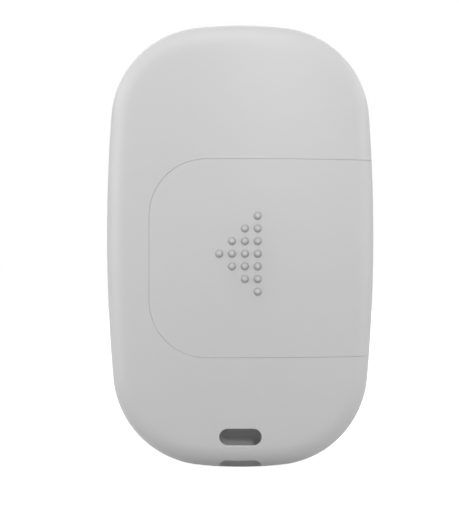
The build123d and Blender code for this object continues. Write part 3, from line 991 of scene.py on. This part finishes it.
# Coin cell: a pressed steel can that faces the cover, a plastic seal ring and a steel lid
# towards the board. A plus is etched into the can, the pole that the user has to see.
cell_z = cover_bottom + cover_height / 2
plus_reach = 1.5
plus_half = 0.22
plus_z = cell_z + 5.0
cell_steel, tree = new_finish("coin cell steel")
lines = noise(tree, 9000.0, 3.0, (0.03, 1, 1))
smudge = noise(tree, 220.0, 3.0)
level = (1.0 - beyond(tree, 0, 0.0, plus_reach)) * (1.0 - beyond(tree, 2, plus_z, plus_half))
upright = (1.0 - beyond(tree, 0, 0.0, plus_half)) * (1.0 - beyond(tree, 2, plus_z, plus_reach))
plus = tree.maths("MAXIMUM", level, upright)
bare = smudge.blend((0.42, 0.415, 0.405, 1), (0.49, 0.485, 0.475, 1))
surface(tree, {
    "Base Color": plus.blend(bare, (0.20, 0.20, 0.20, 1)),
    "Metallic": 1.0,
    "Roughness": lines * 0.12 + smudge * 0.1 + plus * 0.2 + 0.3,
    "Normal": tree.add("ShaderNodeBump", {}, {"Height": lines - plus, "Distance": 0.000002}),
})
dress("coin_cell_can", cell_steel)
dress("coin_cell_lid", cell_steel)
dress("coin_cell_seal", moulded("black seal plastic", (0.03, 0.03, 0.032), 0.45))


# Battery cover: moulded like the shells, with the raised dots that the thumb pushes on, and
# painted shade round their feet. It slides off to the right, held by the rails on its
# inside, which the imported piece keeps.
seam_gap = 0.12
seam_shown = 0.042
dot_columns = (1, 3, 5, 7)
dot_pitch = 1.73
dot_pitch_up = 1.70
dot_tip_x = -2.88
dot_middle_z = 29.46
dot_radius = 0.535
dot_rise = 0.3
dot_fillet = 0.1
dot_root = 0.35
dot_sides = 36
fillet_sink = 0.003
tip_clearance = 0.001
dots_x = np.repeat(dot_tip_x + np.arange(len(dot_columns)) * dot_pitch, dot_columns)
dots_z = np.concatenate([np.arange(count) - (count - 1) / 2 for count in dot_columns])
dots_z = dot_middle_z + dots_z * dot_pitch_up


def dot_profile(rise):
    """Half section of a dot over the face, as radii and heights. A ball that passes through
    the dot's edge, of radius (r^2 + h^2) / 2h, meets the face with a small fillet. The foot
    goes down into the cover as a root."""
    ball = (dot_radius**2 + rise**2) / (2 * rise)
    below = ball + dot_fillet - rise
    foot = np.sqrt((ball + dot_fillet) ** 2 - below**2)
    lean = np.arctan2(foot, below)
    dome = lean * np.linspace(0, 1, 9)
    bend = lean * np.linspace(1, 0, 6)[1:]
    radius = np.concatenate([ball * np.sin(dome), foot - dot_fillet * np.sin(bend), [foot, 0]])
    fillet = dot_fillet * (1 - np.cos(bend)) - fillet_sink
    height = np.concatenate([rise - ball * (1 - np.cos(dome)), fillet])
    return radius, np.concatenate([height, [-dot_root, -dot_root]])


def dot_forms():
    """Raised dots that follow the crowned face, with all their tips in one plane."""
    turn = np.linspace(0, 2 * math.pi, dot_sides, endpoint=False)
    tips = back_face[0] + dot_rise - tip_clearance
    forms = []
    for x, z in zip(dots_x, dots_z):
        radius, height = dot_profile(tips - crown(x, z, back_face, 0.0))
        ring_x = x + radius[:, None] * np.cos(turn)
        ring_z = z + radius[:, None] * np.sin(turn)
        ring_y = -(crown(ring_x, ring_z, back_face, 0.0) + height[:, None])
        points = np.stack([ring_x, ring_y, ring_z], -1)
        forms.append((points, grid_faces(len(radius), dot_sides)))
    return forms


def inside_corners(points):
    """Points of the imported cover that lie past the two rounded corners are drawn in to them."""
    reach = cover_corner - seam_gap
    x = points[:, 0] - (cover_left + cover_corner)
    z = points[:, 2] - (cover_top + cover_bottom) / 2
    over = np.abs(z) - ((cover_top - cover_bottom) / 2 - cover_corner)
    far = np.hypot(x, over)
    shrink = np.where((x < 0) & (over > 0) & (far > reach), reach / np.maximum(far, 1e-9), 1.0)
    drawn = points.copy()
    drawn[:, 0] += x * (shrink - 1)
    drawn[:, 2] += np.sign(z) * over * (shrink - 1)
    return drawn


carve(cover_skin, seam_tool("cover tool", -1, seam_shown, seam_gap), "INTERSECT")
dots = place_mesh("dots", dot_forms(), sharp_degrees=40)
# Painted shade over the distance from a dot's axis: none on the tip, dark round the foot.
dot_shade_reaches = (0.12, 0.34, 0.52, 0.60)
dot_shade = (0.0, 0.45, 0.75, 0.1)
at = points_of(dots)
reach = np.hypot(at[:, :1] - dots_x, at[:, 2:] - dots_z).min(axis=1)
lay_painted_shade(dots, np.interp(reach, dot_shade_reaches, dot_shade))
cover_piece = shell_piece(
    "battery_cover_moulding", cover_skin, "battery_cover", back_face, -1, [dots], inside_corners)
# A faint oval of painted shade round the dots, densest in the middle.
shade_oval_x, shade_oval_z = 1.5, 28.5
shade_oval_across, shade_oval_along = 4.0, 5.0
shade_oval_share = 0.065
at = points_of(cover_piece)
shade_oval = ((at[:, 0] - shade_oval_x) / shade_oval_across) ** 2 + ((at[:, 2] - shade_oval_z) / shade_oval_along) ** 2
lay_painted_shade(cover_piece, shade_oval_share * np.exp(-shade_oval))
stand_in(cover_piece, "battery_cover", "battery_cover", housing_finish)
